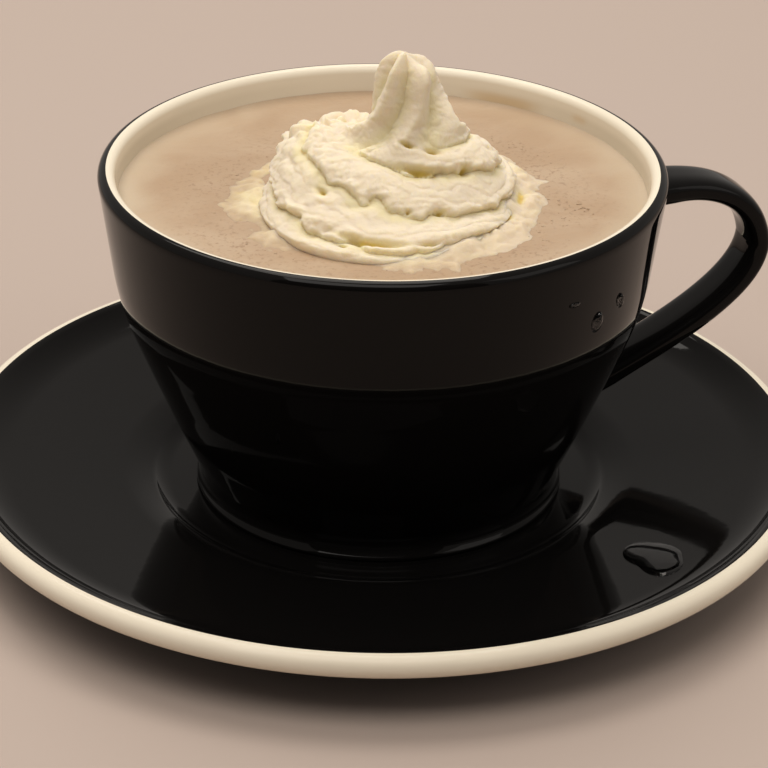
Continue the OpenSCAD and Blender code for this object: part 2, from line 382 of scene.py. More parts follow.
saucer = {
    "radius": saucerHigh.x, "height": saucerHigh.z,
    # the upper face, inwards from the edge: radius and height
    "turnUp": (72 * mm, 11.4 * mm), "flange": (50 * mm, 9.6 * mm), "step": (44 * mm, 8.0 * mm),
    "wall": 4.4 * mm, "edge": 4.6 * mm, "well": 6.6 * mm, "wellRadius": 41.5 * mm, "ringWidth": 4.2 * mm,
    "roll": np.linspace(-108, 104, 60),     # degrees round the rolled edge
    "band": (-78, 96), "bandFade": 2,       # between which degrees its glaze is cream, and how softly it ends
    "around": 320,
}


def saucerLine(s):
    # from the middle of the underside out over the rolled edge and back to the middle of the well
    half = s["edge"] / 2
    rim = np.array([s["radius"] - half, s["height"] - half])
    under = s["well"] - s["wall"]
    out = s["wellRadius"] + s["ringWidth"]
    into = out - s["ringWidth"]         # the foot ring stands between these two radii
    hollow, slope = into - s["ringWidth"] - mm, [out + 6 * mm, under + mm]
    parts = [
        quadCurve([mm, under], [20 * mm, under], [hollow, under], 12),
        quadCurve([hollow, under], [into - 2 * mm, under], [into, 0.6 * mm], 8),
        quadCurve([into, 0.6 * mm], [into + 0.2 * mm, 0], [into + mm, 0], 5),
        quadCurve([into + mm, 0], [out - 1.5 * mm, 0], [out - mm, 0], 4),
        quadCurve([out - mm, 0], [out, 0.2 * mm], [out + 0.2 * mm, mm], 5),
        quadCurve([out + 0.2 * mm, mm], [out + 0.8 * mm, under], slope, 8),
        quadCurve(slope, rim + [-14 * mm, -half - 3.2 * mm], rim + [-mm, -half + 0.1 * mm], 24),
    ]
    rolled = arcLine(rim, half, s["roll"])
    turnUp, flange, step = (np.array(s[k]) for k in ("turnUp", "flange", "step"))
    top = [
        quadCurve(rim + [-1.4 * mm, half - 0.3 * mm], turnUp + [4.5 * mm, 0.5 * mm], turnUp, 24),
        quadCurve(turnUp, (turnUp + flange) / 2 - [0, 0.1 * mm], flange, 24),
        quadCurve(flange, flange - [3 * mm, 0.4 * mm], step, 10),
        quadCurve(step, [s["wellRadius"] + 0.8 * mm, s["well"]], [s["wellRadius"] - mm, s["well"]], 10),
        quadCurve([s["wellRadius"] - mm, s["well"]], [20 * mm, s["well"]], [mm, s["well"]], 16, True),
    ]
    below, above = np.concatenate(parts), np.concatenate(top)
    low, high, fade = *s["band"], s["bandFade"]
    band = ease(s["roll"], low - fade, low + fade) * (1 - ease(s["roll"], high - fade, high + fade))
    pale = np.concatenate([np.zeros(len(below)), band, np.zeros(len(above))])
    return np.concatenate([below, rolled, above]), pale


saucerOutline, pale = saucerLine(saucer)
saucerPiece = skin("saucerBody", lathe(saucerOutline, saucer["around"]))
stripe(saucerPiece, "paleGlaze", np.repeat(pale[:, None], saucer["around"], 1))
place(saucerPiece, glaze, "saucer")
print("saucer made")

# cup

cup = {
    "foot": cupLow.z, "top": cupHigh.z, "radius": -cupLow.x,
    "wall": 3.3 * mm, "shoulderIn": 3.3 * mm, "shoulderDrop": 25.7 * mm, "bend": 7 * mm, "belly": 0.5 * mm,
    "footRadius": 35.7 * mm, "waistIn": 1.2 * mm, "waistHeight": 3.4 * mm, "hollow": 1.8 * mm,
    "floor": 5.6 * mm, "innerRound": 12 * mm,
    "footPoints": 34,       # points of the outline up to the waist
    "lip": np.linspace(6, 174, 40),         # degrees over the lip
    "lipFade": (84, 92),    # between which of them the glaze turns from black to cream
    "wallShadeFrom": (1.5 * mm, 3.5 * mm),       # how far below the lip the painted shade on the inner wall begins
    "around": 320,
    "litBackSide": 73,        # the azimuth of the back wall, which faces the lamps and keeps its lit colour without painted shade
    # dried drink on the inner wall: azimuth, between which heights over the drink (mm), half angle, strength
    "stains": [[44, -0.5, 2.6, 9, 0.8], [22.5, 1.9, 3.0, 2.2, 0.9], [70, -0.5, 1.0, 16, 0.35]],
}


def cornerIn(a, b, c, t):       # corner a-b-c moved to its left by t on both sides: b + t (p + q) / (1 + p.q)
    p, q = unit(b - a), unit(c - b)
    p, q = np.array([-p[1], p[0]]), np.array([-q[1], q[0]])
    return b + t * (p + q) / (1 + p @ q)


def cupLine(c):
    # from the middle of the underside up the outside, over the lip and down the inside to the floor
    foot, lip = c["foot"], c["wall"] / 2
    shoulder = np.array([c["radius"] - c["shoulderIn"], c["top"] - c["shoulderDrop"]])
    heel = np.array([c["footRadius"] - c["waistIn"], foot + c["waistHeight"]])
    side = np.array([c["radius"], c["top"] - lip])
    low, high = shoulder + c["bend"] * unit(heel - shoulder), shoulder + c["bend"] * unit(side - shoulder)
    footRadius, under = c["footRadius"], foot + c["hollow"]
    waist = heel + 1.2 * mm * unit(shoulder - heel)
    outside = np.concatenate([
        quadCurve([mm, under], [15 * mm, under], [footRadius - 6 * mm, under], 8),
        quadCurve([footRadius - 6 * mm, under], [footRadius - 3.8 * mm, under - 0.1 * mm],
                  [footRadius - 3.2 * mm, foot], 6),
        quadCurve([footRadius - 3.2 * mm, foot], [footRadius - 2 * mm, foot],
                  [footRadius - 0.8 * mm, foot], 4),
        quadCurve([footRadius - 0.8 * mm, foot], [footRadius, foot], [footRadius, foot + 0.9 * mm], 8),
        quadCurve([footRadius, foot + 0.9 * mm], [heel[0] - 0.2 * mm, foot + 2.2 * mm], waist, 12),
        quadCurve(waist, (heel + low) / 2 + [c["belly"], 0], low, 40),
        quadCurve(low, shoulder, high, 30),
        quadCurve(high, (high + side) / 2, side, 24),
    ])
    over = arcLine([c["radius"] - lip, c["top"] - lip], lip, c["lip"])
    innerShoulder = cornerIn(heel, shoulder, side, c["wall"])
    slope = unit(shoulder - heel)
    corner = innerShoulder - slope * (innerShoulder[1] - foot - c["floor"]) / slope[1]
    innerSide = np.array([c["radius"] - c["wall"], c["top"] - lip])
    lowIn = innerShoulder - c["bend"] * slope
    highIn = innerShoulder + c["bend"] * unit(innerSide - innerShoulder)
    turn = corner + c["innerRound"] * slope
    inside = np.concatenate([
        quadCurve(innerSide, (innerSide + highIn) / 2, highIn, 30)[1:],
        quadCurve(highIn, innerShoulder, lowIn, 20),
        quadCurve(lowIn, (lowIn + turn) / 2, turn, 12),
        quadCurve(turn, corner, corner - [c["innerRound"], 0], 12),
        quadCurve(corner - [c["innerRound"], 0], corner - [20 * mm, 0], [mm, corner[1]], 8, True),
    ])
    pale = np.concatenate([np.zeros(len(outside)), ease(c["lip"], *c["lipFade"]), np.ones(len(inside))])
    return np.concatenate([outside, over, inside]), pale, outside, inside


cupOutline, pale, cupOutside, cupInside = cupLine(cup)
cupPiece = skin("cupBody", lathe(cupOutline, cup["around"]))
stripe(cupPiece, "paleGlaze", np.repeat(pale[:, None], cup["around"], 1))


def wallShadeAndStain(c):       # painted shade on the inner wall and the dried drink, for each ring and angle of the cup
    turn = np.linspace(0, 2 * np.pi, c["around"], endpoint=False)
    within = np.arange(len(cupOutline)) >= len(cupOutline) - len(cupInside)
    # painted shade from just below the lip down the inner wall, taken away on the back wall that faces the
    # lamps
    wallShade = within * ease(c["top"] - cupOutline[:, 1], *c["wallShadeFrom"])
    litBack = 0.8 * np.clip(np.cos(turn - np.radians(c["litBackSide"])), 0, 1) ** 2
    over = (cupOutline[:, 1] - drinkLevel) / mm
    stain = np.zeros((len(cupOutline), c["around"]))
    for azimuth, low, high, halfAngle, strength in c["stains"]:
        across = ease(over, low - 0.8, low + 0.8) * (1 - ease(over, high - 1.2, high + 0.6))
        patch = bell(turnFrom(turn, azimuth), 0, halfAngle, 4)
        stain = np.maximum(stain, strength * (within * across)[:, None] * patch)
    return wallShade[:, None] * (1 - litBack), stain


wallShade, stain = wallShadeAndStain(cup)
stripe(cupPiece, "wallShade", wallShade)
stripe(cupPiece, "stain", stain)
place(cupPiece, glaze, "cup")
print("cup made")

# handle

handle = {
    "width": 10.7 * mm, "thick": 4.6 * mm, "out": 23 * mm,
    "topDrop": 11.3 * mm, "drop": 11.8 * mm, "low": 14 * mm,
    # how far the line is pulled from the upper root, to and from its reach, and from the lower root
    "rootPull": (8 * mm, 1.9 * mm), "reachPull": (-1.9 * mm, 1.2 * mm), "fall": 9.5 * mm,
    "lowPull": (22.5 * mm, 10 * mm),
    "corner": (0.62, 0.72),     # powers that square the oblong, across and through
    "swell": (0.12, 0.25),      # how much it swells by its roots, across and through
    "swellRun": (7 * mm, 9 * mm),       # how far from the upper and from the lower root
    "trim": (5 * mm, 6 * mm),       # what is left out by the roots for the fillets
    "steps": 150, "around": 72, "fillet": 3.6 * mm, "filletSteps": 16,
}


def wallRadius(z):      # the cup's outer radius at each height, read off its outline
    wall = cupOutside[cup["footPoints"]:]
    return np.interp(z, wall[:, 1], wall[:, 0])


def strapLine(h):
    # two cubics in the plane of the handle, from the upper root out to its reach and in to the lower root
    topZ, lowZ = cup["top"] - h["topDrop"], cup["foot"] + h["low"]
    rootTop = np.array([wallRadius(topZ), topZ])
    rootLow = np.array([wallRadius(lowZ), lowZ])
    reach = np.array([cup["radius"] + h["out"], topZ - h["drop"]])
    over = np.array([reach[0] + h["reachPull"][0], topZ + h["reachPull"][1]])
    t = np.linspace(0, 1, h["steps"] // 2, endpoint=False)
    first = cubicCurve(rootTop, rootTop + h["rootPull"], over, reach, t[:, None])
    below, t = reach - [0, h["fall"]], np.append(t, 1)
    return np.concatenate([first, cubicCurve(reach, below, rootLow + h["lowPull"], rootLow, t[:, None])])


def strapRings(h):
    # a rounded oblong, w |cos a|^p by t |sin a|^q with the signs of cos and sin, carried along the line
    line = strapLine(h)
    along = unit(np.gradient(line, axis=0))
    up = np.stack([-along[:, 1], along[:, 0]], 1)
    run = np.concatenate([[0], np.cumsum(np.linalg.norm(np.diff(line, axis=0), axis=1))])
    swell = (bell(run, 0, h["swellRun"][0]) + bell(run, run[-1], h["swellRun"][1]))[:, None]
    a = np.linspace(0, 2 * np.pi, h["around"], endpoint=False)
    c, s = np.cos(a), np.sin(a)
    across = h["width"] / 2 * np.sign(c) * np.abs(c) ** h["corner"][0] * (1 + h["swell"][0] * swell)
    through = h["thick"] / 2 * np.sign(s) * np.abs(s) ** h["corner"][1] * (1 + h["swell"][1] * swell)
    x = line[:, 0, None] + up[:, 0, None] * through
    z = line[:, 1, None] + up[:, 1, None] * through
    return np.stack([x, across, z], -1)


def rootRings(ring, direction, h):
    # each point runs on to the wall, then turns outwards along it: a round fillet, by the curve of quadCurve
    toward = np.array([direction[0], 0, direction[1]])
    run = np.zeros(len(ring))
    for _ in range(30):         # close in on the wall along the strap's own direction
        p = ring + run[:, None] * toward
        run += 0.7 * (np.hypot(p[:, 0], p[:, 1]) - wallRadius(p[:, 2])) / max(0.6, -direction[0])
    corner = ring + run[:, None] * toward
    middle = corner.mean(0)
    spread = unit(corner - middle)
    end = corner + h["fillet"] * spread
    radius = wallRadius(end[:, 2]) - 0.12 * mm
    end[:, :2] *= (radius / np.hypot(end[:, 0], end[:, 1]))[:, None]
    start = corner - toward * h["fillet"]
    t = np.linspace(0, 1, h["filletSteps"])[:, None, None]
    return (1 - t) ** 2 * start + 2 * t * (1 - t) * corner + t * t * end


def tuckedEnd(ring):        # the ring drawn two fifths of its size, inside the wall
    return (0.6 * ring.mean(0) * [0.96, 1, 1] + 0.4 * ring)[None]


def handlePiece(h):     # the strap between its two fillets, whose open ends close inside the wall
    rings = strapRings(h)
    run = np.linalg.norm(np.diff(rings.mean(1), axis=0), axis=1)
    fromTop, fromLow = np.cumsum(run), np.cumsum(run[::-1])[::-1]
    body = rings[1:][(fromTop > h["trim"][0]) & (np.append(fromLow[1:], 0) > h["trim"][1])]
    middles = body.mean(1)
    first = rootRings(body[0], unit(middles[0] - middles[1])[[0, 2]], h)
    last = rootRings(body[-1], unit(middles[-1] - middles[-2])[[0, 2]], h)
    whole = np.concatenate([first[::-1], body[1:-1], last])
    return skin("handleLoop", np.concatenate([tuckedEnd(whole[0]), whole, tuckedEnd(whole[-1])]))


handleObject = handlePiece(handle)
stripe(handleObject, "paleGlaze", np.zeros(1))
place(handleObject, glaze, "cup")
print("handle made")

# drink

drink = {
    "intoWall": 0.35 * mm,
    "meniscus": 0.7 * mm, "climb": 0.9 * mm,        # how high it climbs the wall, and from how far
    "ripple": 0.09 * mm, "rippleCell": 9 * mm,
    "froth": 9 * mm, "clearSide": 73,       # reach of the pale froth from the wall; the azimuth without it
    "ringMiddle": (-1.6 * mm, -5.1 * mm), "ringRadius": 34 * mm, "ringWidth": 7 * mm,       # the pitted ring
    "around": 300, "rings": 210,
}


def drinkPiece(d):
    # a disc with a slow ripple that climbs the wall at its rim, over a body that follows the cup's inside
    inside = cupInside[cupInside[:, 1] < drinkLevel]
    rim = np.interp(-drinkLevel, -cupInside[:, 1], cupInside[:, 0]) + d["intoWall"]
    r = rim * np.linspace(0.004, 1, d["rings"])[:, None] ** 0.9
    a = np.linspace(0, 2 * np.pi, d["around"], endpoint=False)[None]
    p = np.stack([r * np.cos(a), r * np.sin(a), np.zeros_like(r * a)], -1)
    ripple = d["ripple"] * roughness(p, d["rippleCell"], 4, 3)
    p[..., 2] = drinkLevel + ripple + d["meniscus"] * np.exp(-(rim - r) / d["climb"])
    under = lathe(inside + [d["intoWall"], -0.3 * mm], d["around"])[::-1]
    away = np.hypot(p[..., 0] - d["ringMiddle"][0], p[..., 1] - d["ringMiddle"][1])
    ring = bell(away, d["ringRadius"], d["ringWidth"]) * (0.8 + 0.7 * roughness(p, 14 * mm, 2, 11))
    froth = ease(r + 2.5 * mm * grain(p, 7 * mm, 15), rim - d["froth"], rim)
    froth = froth * (1 - 0.8 * np.clip(np.cos(a - np.radians(d["clearSide"])), 0, 1))
    piece = skin("drinkSurface", np.concatenate([under, p[::-1]]))
    plain = np.zeros(under.shape[:2])
    stripe(piece, "pitted", np.concatenate([plain, np.clip(ring, 0, 1)[::-1]]))
    stripe(piece, "froth", np.concatenate([plain, froth[::-1]]))
    return piece


drinkObject = drinkPiece(drink)
place(drinkObject, drinkFinish, "drink")
print("drink made")

# whipped cream

cream = {
    "middle": (2.8 * mm, -3.7 * mm),        # where the swirl stands
    "facing": -17,          # the azimuth of its right side; angles on the swirl count from there
    "skew": 2.2 * mm,       # how far the foot runs out at the front left and draws in at the front right
    "strands": 4, "crowdBack": 0.3, "crowdPeak": -0.16,     # strands round the swirl, and how they bunch
    "depth": 1.6 * mm, "fineDepth": 0.26 * mm, "fine": 2.4,         # relief, and finer strands on each strand
    "peakDepth": 2.5 * mm, "peakRows": (4.9, 6.2),      # relief of the peak, and the rows where it begins
    "hang": 0.14,       # how far each strand hangs over the one below, for each unit of relief
    "shoulder": (160, 45, 4.2, 1.3),        # the crumbly clump on the left: angle, half angle, row, half row
    "clump": 1.8 * mm, "crumb": 1.3 * mm,
    "wander": [(0.15, 8 * mm), (0.12, 3.2 * mm), (0.06, 1.4 * mm)],     # strength and cell of each grain
    "lumps": [(0.9, 3.4 * mm), (0.65, 1.7 * mm), (0.5, 0.9 * mm)],
    "sunk": 7 * mm, "around": 440, "rings": 218, "seed": 21,
}
# the swirl's outline on four sides, row by row from its foot to its peak: radius and height above the drink
creamSides = {
    "right": [[19.8, 0], [19.8, 1.5], [19.2, 3.2], [17.8, 5.2], [15.4, 8.5], [12, 11.6], [8.8, 14.0],
              [5.9, 17.8], [4.6, 21.4], [4.2, 24.2], [2.4, 26.0], [0, 29.0]],
    "back": [[23, 0], [22, 1.8], [20, 4.0], [16.6, 6.0], [13, 7.8], [10, 9.4], [7.6, 12],
             [5.8, 16.5], [4.2, 21], [3, 25], [1.6, 27.6], [0, 29.0]],
    "left": [[23.5, 0], [23.2, 2.4], [22.6, 5.4], [21.2, 8.8], [18.6, 11.6], [13.6, 11.8], [9.2, 12.2],
             [5.8, 15.6], [4.2, 20.4], [2.8, 24.6], [1.4, 28], [0, 29.0]],
    "front": [[30, 0], [27.5, 1.2], [23.6, 2.8], [19.2, 5.4], [15, 8], [11, 10.4], [7.4, 13.2],
              [5.2, 16.8], [4.0, 21.2], [3.0, 25.0], [1.6, 27.9], [0, 29.0]],
}
# how many strands have been passed at each row: they stack up the cone, then turn up into the peak and lean
creamStack = [[0, -5.5], [1, -5.0], [2, -4.5], [3, -3.95], [4, -3.5], [4.6, -3.17], [5, -2.85], [5.4, -2.52],
              [5.8, -2.43], [6.4, -2.56], [7.8, -2.93], [9.5, -3.14], [11, -3.2]]
# torn gaps between the strands: angle, row, half length, half width and depth in millimetres
creamGaps = [
    [283, 4.75, 4.0, 0.8, 2.4], [275, 5.9, 1.2, 0.6, 1.5], [303, 5.5, 1.3, 0.7, 1.8],
    [322, 4.3, 1.0, 1.0, 2.0], [227, 3.0, 1.2, 0.6, 1.6], [272, 2.9, 0.6, 0.4, 1.5],
    [290, 2.8, 0.9, 0.5, 1.6], [258, 1.35, 6.0, 0.9, 2.0], [280, 1.1, 1.4, 0.5, 1.6],
    [203, 1.7, 1.0, 0.7, 1.6], [248, 1.0, 0.8, 0.4, 1.2], [297, 0.8, 0.9, 0.5, 1.2],
]


def creamOutline(angle, s):
    # a0 + a1 cos a + b1 sin a + a2 cos 2a, which meets the four outlines at their own sides
    r, b, l, f = (smoothLine(creamSides[k], s)[:, None] * mm for k in ("right", "back", "left", "front"))
    c = angle[None, :, None]
    return ((r + b + l + f) / 4 + (r - l) / 2 * np.cos(c) + (b - f) / 2 * np.sin(c)
            + (r + l - b - f) / 4 * np.cos(2 * c))


def outwards(grid):     # the grid's unit normals: round it, crossed with up it
    up = unit(np.gradient(grid, axis=0))
    across = np.roll(grid, -1, 1) - np.roll(grid, 1, 1)
    across[-1] = across[-2]
    return unit(np.cross(unit(across), up)), up


def sunkRings(rings, share, c):     # the rings drawn in to a share of their size and sunk in the drink
    middle = np.array([*c["middle"], 0])
    return (rings - middle) * [share, share, 0] + middle + np.array([0, 0, drinkLevel - c["sunk"]])


def strandPhase(c, grid, angle, row, column):
    # strands x angle / 360 - bunch cos(angle) + strands passed + wander; its fraction says where on a strand
    wander = grains(grid, c["wander"], c["seed"])
    passed = np.interp(row, *np.transpose(creamStack))
    passed = np.convolve(np.pad(passed, 6, mode="edge"), np.ones(13) / 13, mode="valid")
    bunch = c["crowdBack"] * (1 - column) + c["crowdPeak"] * column
    phase = c["strands"] * angle[None] / (2 * np.pi) - bunch * np.cos(angle)[None] + passed[:, None]
    return phase + wander * (1 - 0.75 * column)


def creamSwirl(c):
    # strands wind up the outline and turn up into the peak, each hanging over the one below,
    # and grain roughens them all
    rows = len(creamSides["front"]) - 1
    s = np.linspace(0, 1, c["rings"])
    row = s * rows
    angle = np.linspace(0, 2 * np.pi, c["around"], endpoint=False)
    outline = creamOutline(angle, s)
    outline[..., 0] += c["skew"] * np.sin(2 * angle) * (1 - ease(row, 0, 5))[:, None]
    turned = angle + np.radians(c["facing"])
    grid = np.stack([outline[..., 0] * np.cos(turned), outline[..., 0] * np.sin(turned), outline[..., 1]], -1)
    out, up = outwards(grid)
    column = ease(row, *c["peakRows"])[:, None]         # 0 on the cone and 1 on the peak
    fade = np.clip(s / 0.05, 0, 1)[:, None] * ease(1 - s, 0, 0.2)[:, None]

    # each strand: a shingle f^0.35 (1-f)^0.8 on the cone and a petal 1 - |2f-1| on the peak, both up to 1
    phase = strandPhase(c, grid, angle, row, column)
    f = phase - np.floor(phase)
    shingle = (f ** 0.35 * (1 - f) ** 0.8) / 0.53
    petal = (1 - np.sqrt(((2 * f - 1) ** 2 + 0.03) / 1.03)) ** 1.25 / 0.79
    fine = c["fine"] * phase + 0.9 * grain(grid, 6 * mm, c["seed"] + 6)
    fine = fine - np.floor(fine)
    strand = c["depth"] * shingle + c["fineDepth"] * (fine ** 0.5 * (1 - fine) ** 0.7 * 2.2 - 0.7)

    # the left shoulder is a crumbly clump
    where, halfAngle, atRow, halfRow = c["shoulder"]
    shoulder = bell(turnFrom(angle, where), 0, halfAngle)[None] * bell(row, atRow, halfRow)[:, None]
    strand = strand + c["clump"] * shoulder * grain(grid, 4.5 * mm, c["seed"] + 7)
    strand = strand + c["crumb"] * shoulder * (np.abs(grain(grid, 2.2 * mm, c["seed"] + 8)) * 2 - 0.6)
    depth = (strand * (1 - column) + c["peakDepth"] * petal * column) * fade

    # crumbs, most on the torn lower edge of each strand and on the left
    leftness = np.clip(-np.cos(angle), 0, 1)[None]
    edge = 0.35 + 0.9 * bell(f, 0.12, 0.16)
    crumble = (0.32 + 0.4 * leftness) * edge * (1 - 0.8 * column) + 0.12 + 0.2 * column
    depth = depth + mm * crumble * lumps(grid, c["lumps"], c["seed"] + 3) * fade

    # torn gaps, each along its strand, which climbs a row in 85 degrees
    gapShade = np.zeros_like(depth)
    for where, height, length, width, deep in creamGaps:
        turn = turnFrom(angle, where)[None]
        u = np.radians(turn) * outline[..., 0] / (length * mm)
        v = (row[:, None] - height + turn / 85) * 5 / width
        gap = np.exp(-u ** 2 - v ** 2)
        depth = depth - deep * mm * gap
        gapShade = np.maximum(gapShade, gap)

    grid = grid + out * depth[..., None] - up * (c["hang"] * depth * (1 - column))[..., None]
    # painted shade: the grooves between strands and the torn gaps get the darker yellow colours
    grooveShade = np.clip(1 - shingle * 1.5, 0, 1) * (1 - column) + 0.6 * np.clip(1 - petal * 1.3, 0, 1) * column
    foldShade = np.maximum(0.72 * grooveShade * fade, gapShade)
    grid = grid + [*c["middle"], drinkLevel]
    piece = skin("creamSwirl", np.concatenate([sunkRings(grid[:1], 0.8, c), grid]))
    stripe(piece, "foldShade", np.concatenate([foldShade[:1], foldShade]))
    return piece


fringe = {
    "edge": [28.5, 29.5, 28, 26, 27.5, 33, 35.5, 36, 34.5, 34.5, 34, 29.5],     # reach (mm) every 30 degrees
    "ragged": [(0.06, 6 * mm), (0.035, 2.6 * mm), (0.02, 1.2 * mm)],        # strength and cell of each grain
    "lumps": [(0.45, 4.2 * mm), (0.25, 1.9 * mm), (0.12, 0.9 * mm)],
    "height": 1.7 * mm,
    "ring": (25.6 * mm, 2.2 * mm, 1.1 * mm),        # the raised ring on the right: radius, width, height
    "shelf": (20.5 * mm, 1.6 * mm, 1.2 * mm),       # the same for the cream that lies against the swirl there
    "holes": [(-4, 9), (-31, 7)],           # deep holes between the ring and the swirl: angle and half angle
    "holeRing": (22.0 * mm, 0.9 * mm, 0.9 * mm),        # their radius, width and depth
    # a gap on the left that shows the drink: angle, half angle, radius, width and depth
    "pool": (163, 9, 26 * mm, 1.6 * mm, 1.6 * mm),
    "patch": (165, 40),     # the yellower left side: angle and half angle
    "rings": 170, "around": 420, "seed": 5,
}


def creamFringe(f, c):
    # melted cream on the drink: height (0.3 + 0.6 lump) out to an uneven edge, and a raised ring on the right
    angle = np.linspace(0, 2 * np.pi, f["around"], endpoint=False)
    turned = (angle + np.radians(c["facing"]))[None]
    table = np.array(f["edge"] * 3) * mm        # three turns, so that the curve is smooth across its ends
    edge = smoothLine(table[:, None], (angle + 2 * np.pi) / (6 * np.pi) * 36 / 35)[:, 0]
    s = np.linspace(0.3, 1.12, f["rings"])[:, None]
    r = edge[None] * s
    p = np.stack([r * np.cos(turned), r * np.sin(turned), 0 * r], -1)
    right = ease(np.cos(angle), 0.1, 0.7)[None]
    ragged = grains(p, f["ragged"], f["seed"])
    inside = 1 - ease(s + ragged, 0.74, 1.02)
    lump = 0.4 + grains(p, f["lumps"], f["seed"] + 3)
    ring, shelf = (right * bell(r, *f[k][:2]) * f[k][2] for k in ("ring", "shelf"))
    height = f["height"] * (0.3 + 0.6 * lump) + ring * (0.7 + 0.5 * lump) + shelf
    holes = sum(bell(turnFrom(angle, where), 0, half, 4) for where, half in f["holes"])[None]
    crevice = holes * bell(r, *f["holeRing"][:2])
    where, half, poolRadius, poolWidth, poolDepth = f["pool"]
    pool = bell(turnFrom(angle, where), 0, half)[None] * bell(r, poolRadius, poolWidth)
    top = p + [*c["middle"], drinkLevel]
    top[..., 2] += height * inside - 0.5 * mm * (1 - inside) - f["holeRing"][2] * crevice - poolDepth * pool
    sunk = sunkRings(top[::8], 0.85, c)
    piece = skin("creamFringe", np.concatenate([sunk, top[-1:] - [0, 0, 0.2 * mm], top[::-1]]))
    patch = bell(turnFrom(angle, f["patch"][0]), 0, f["patch"][1])[None]
    # painted shade in the hollows between lumps and in the deep holes, 0.2 more away from the right side and
    # more on the yellower left patch
    shade = 0.4 * np.clip(0.5 - lump, 0, 1) * (1 + patch) + 0.2 * (1 - right) + 0.15 * patch
    melt = np.clip(1.1 * ease(s + 1.3 * ragged, 0.62, 0.98), 0, 1) * (1 - 0.45 * right)
    plain = np.zeros((len(sunk) + 1, f["around"]))
    stripe(piece, "foldShade", np.concatenate([plain, np.maximum(crevice, shade)[::-1]]))
    stripe(piece, "melt", np.concatenate([plain, melt[::-1]]))
    return piece


swirlObject = creamSwirl(cream)
place(swirlObject, creamFinish, "cream")
fringeObject = creamFringe(fringe, cream)
place(fringeObject, creamFinish, "cream")
print("whipped cream made")

# water drops and bubbles

waterDrops = {      # on the cup's outer wall; sizes are half width, half length and thickness in millimetres
    "azimuth": [-58, -50.4, -66, -130.5], "height": [56.3, 58.2, 62.3, 36], "lean": [12, -8, 5, 6],
    "size": [[1.05, 2.1, 0.9], [0.7, 1.6, 0.7], [1.4, 0.5, 0.3], [0.35, 1.6, 0.3]],
}
puddle = {      # clear water lying on the saucer: reach (mm) in five directions (degrees) from its middle
    "middle": (37.7 * mm, -52.1 * mm), "turn": [-149, -103, -32, 68, 109], "reach": [4.4, 8.4, 5.1, 5.6, 6.9],
    "smooth": 15, "height": 0.7 * mm, "sunk": 0.3 * mm, "around": 96, "rings": 24,
}
bubbles = {     # small bubbles in a ring on the drink, thicker on the right of the cream
    "count": 380, "radius": (0.12 * mm, 0.34 * mm), "ring": 32.5 * mm, "spread": 2.4 * mm, "within": 47 * mm,
    "flat": 0.4, "pitted": 0.4, "seed": 9,
}


def dropPiece(d):       # drops standing on the cup's outer wall, square to it and leaning along it
    azimuth, z, lean = np.radians(d["azimuth"]), np.array(d["height"]) * mm, np.radians(d["lean"])
    width, length, thick = np.transpose(d["size"]) * mm
    r = wallRadius(z)
    slope = (wallRadius(z + mm) - wallRadius(z - mm)) / (2 * mm)
    out = unit(np.stack([np.cos(azimuth), np.sin(azimuth), -slope], 1))
    along = np.stack([-np.sin(azimuth), np.cos(azimuth), 0 * azimuth], 1)
    up = np.cos(lean)[:, None] * unit(np.cross(out, along)) + np.sin(lean)[:, None] * along
    centres = np.stack([r * np.cos(azimuth), r * np.sin(azimuth), z], 1)
    return domes("waterDrops", centres, out, up, width, length, thick, 9, 28)


def saucerTop(r):       # the height of the saucer's upper face at each radius
    top = saucerOutline[saucerOutline[:, 1].argmax():][::-1]
    return np.interp(r, top[:, 0], top[:, 1])


def puddlePiece(p):
    # height sqrt(1 - s^2) over the saucer, out to a reach that is smoothed between its five directions
    a = np.linspace(0, 2 * np.pi, p["around"], endpoint=False)
    reach = np.interp(np.degrees(a), p["turn"], p["reach"], period=360)
    window = np.hanning(p["smooth"])
    spread = np.pad(reach, p["smooth"] // 2, mode="wrap")
    reach = np.convolve(spread, window / window.sum(), mode="valid") * mm
    s = np.concatenate([[0.03, 0.5, 1.0], np.sin(np.linspace(np.pi / 2, 0.03, p["rings"]))])[:, None]
    foot = np.arange(len(s))[:, None] < 3
    lift = np.where(foot, -p["sunk"], p["height"] * np.sqrt(np.maximum(0, 1 - s ** 2)))
    x = p["middle"][0] + s * reach * np.cos(a)
    y = p["middle"][1] + s * reach * np.sin(a)
    return skin("waterPuddle", np.stack([x, y, saucerTop(np.hypot(x, y)) + lift], -1))


def bubblePiece(b, c):
    # flat caps round the cream, at a normal distance from the ring; fewer are kept towards the left
    random = np.random.default_rng(b["seed"])
    turn = random.uniform(0, 2 * np.pi, b["count"] * 3)
    keep = random.uniform(0, 1, len(turn)) < 0.25 + 0.75 * np.clip(np.cos(turn), 0, 1)
    turn = turn[keep][:b["count"]] + np.radians(c["facing"])
    away = b["ring"] + b["spread"] * random.normal(0, 1, len(turn))
    size = b["radius"][0] + (b["radius"][1] - b["radius"][0]) * random.uniform(0, 1, len(turn)) ** 3
    x, y = c["middle"][0] + away * np.cos(turn), c["middle"][1] + away * np.sin(turn)
    within = np.hypot(x, y) < b["within"]
    x, y, size = x[within], y[within], size[within]
    centres = np.stack([x, y, np.full(len(x), drinkLevel)], 1)
    up = np.broadcast_to([0.0, 1.0, 0.0], centres.shape)
    out = np.broadcast_to([0.0, 0.0, 1.0], centres.shape)
    piece = domes("drinkBubbles", centres, out, up, size, size, b["flat"] * size, 4, 10)
    stripe(piece, "pitted", np.full(len(piece.data.vertices), b["pitted"]))
    return piece


place(dropPiece(waterDrops), water)
place(puddlePiece(puddle), water)
place(bubblePiece(bubbles, cream), drinkFinish)
print("drops and bubbles made")

# stage, light and camera

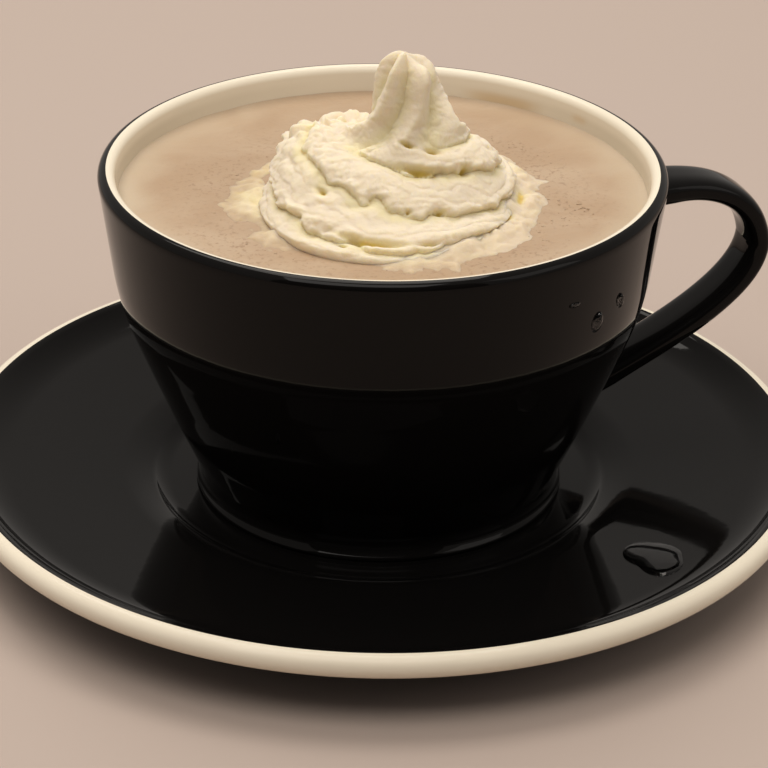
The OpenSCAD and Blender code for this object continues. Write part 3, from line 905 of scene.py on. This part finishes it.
stage = {
    "floor": [(-3, -3, 0), (3, -3, 0), (3, 3, 0), (-3, 3, 0)], "floorColour": (0.445, 0.36, 0.31),
    # the unlit side of the room, which the front of the cup reflects
    "room": [(-1.0, -0.62, 0.0), (0.45, -1.06, 0.0), (0.45, -1.06, 1.3), (-1.0, -0.62, 1.3)],
    "roomColour": (0.02, 0.02, 0.02),
    "sky": (1.0, 0.93, 0.86), "skyPower": 0.47,
}
lamps = {       # where each lamp stands, its size, power and colour; all look at the cup
    "overhead": {"at": (0.0, 0.45, 1.1), "size": 0.8, "power": 8.8, "colour": (1.0, 0.95, 0.88)},
    "fill": {"at": (0.85, -0.7, 0.8), "size": 0.7, "power": 1.6, "colour": (1.0, 0.95, 0.9)},
    "front": {"at": (-0.35, -0.6, 1.2), "size": 1.0, "power": 10.5, "colour": (1.0, 0.95, 0.9)},
}
lampAim = (0, 0, 0.05)
view = {
    "azimuth": -17.0, "distance": 0.5225, "height": 0.2927, "lens": 141.7, "roll": 0.94,
    "aimSide": 0.0008, "aimHeight": 0.0259,
}


def stagePlane(name, corners, materialName, colour, rough):     # one flat face of one colour
    plane = addMesh(name, np.array(corners, float), [(0, 1, 2, 3)])
    material, _, shader = newMaterial(materialName)
    setSockets(shader, {"Base Color": colour + (1.0,), "Roughness": rough})
    plane.data.materials.append(material)
    return plane


def addSky(s):      # the same light from every side
    world = bpy.data.worlds.new("softSky")
    bpy.context.scene.world = world
    world.use_nodes = True
    setSockets(world.node_tree.nodes["Background"], {"Color": s["sky"] + (1.0,), "Strength": s["skyPower"]})


def towards(eye, aim):      # the turn that points a lamp or a camera from one place to another
    return (Vector(aim) - Vector(eye)).to_track_quat("-Z", "Y")


def addLamp(name, lamp, aim):       # a square lamp whose face looks at its aim
    light = bpy.data.lights.new(name, "AREA")
    light.size, light.energy, light.color = lamp["size"], lamp["power"], lamp["colour"]
    holder = bpy.data.objects.new(name, light)
    bpy.context.scene.collection.objects.link(holder)
    holder.location = lamp["at"]
    holder.rotation_euler = towards(lamp["at"], aim).to_euler()


def makeCamera(v):
    # stands at its azimuth round the cup's axis, looks at a point just above the saucer and leans by its roll
    a = np.radians(v["azimuth"])
    camera = bpy.data.cameras.new("camera")
    camera.lens, camera.sensor_width = v["lens"], 36.0
    camera.clip_start, camera.clip_end = 0.01, 20
    holder = bpy.data.objects.new("camera", camera)
    bpy.context.scene.collection.objects.link(holder)
    eye = Vector((v["distance"] * np.sin(a), -v["distance"] * np.cos(a), v["height"]))
    aim = Vector((v["aimSide"] * np.cos(a), v["aimSide"] * np.sin(a), v["aimHeight"]))
    turn = towards(eye, aim).to_matrix() @ Matrix.Rotation(np.radians(v["roll"]), 3, "Z")
    holder.matrix_world = Matrix.Translation(eye) @ turn.to_4x4()
    bpy.context.scene.camera = holder


stagePlane("floor", stage["floor"], "paleFloor", stage["floorColour"], 0.7)
room = stagePlane("room", stage["room"], "darkRoom", stage["roomColour"], 0.5)
room.visible_camera = False         # seen in the glaze only, so it never hides the cup
addSky(stage)
for name, lamp in lamps.items():
    addLamp(name, lamp, lampAim)
makeCamera(view)
bpy.context.scene.view_settings.view_transform = "Standard"
print("stage made")
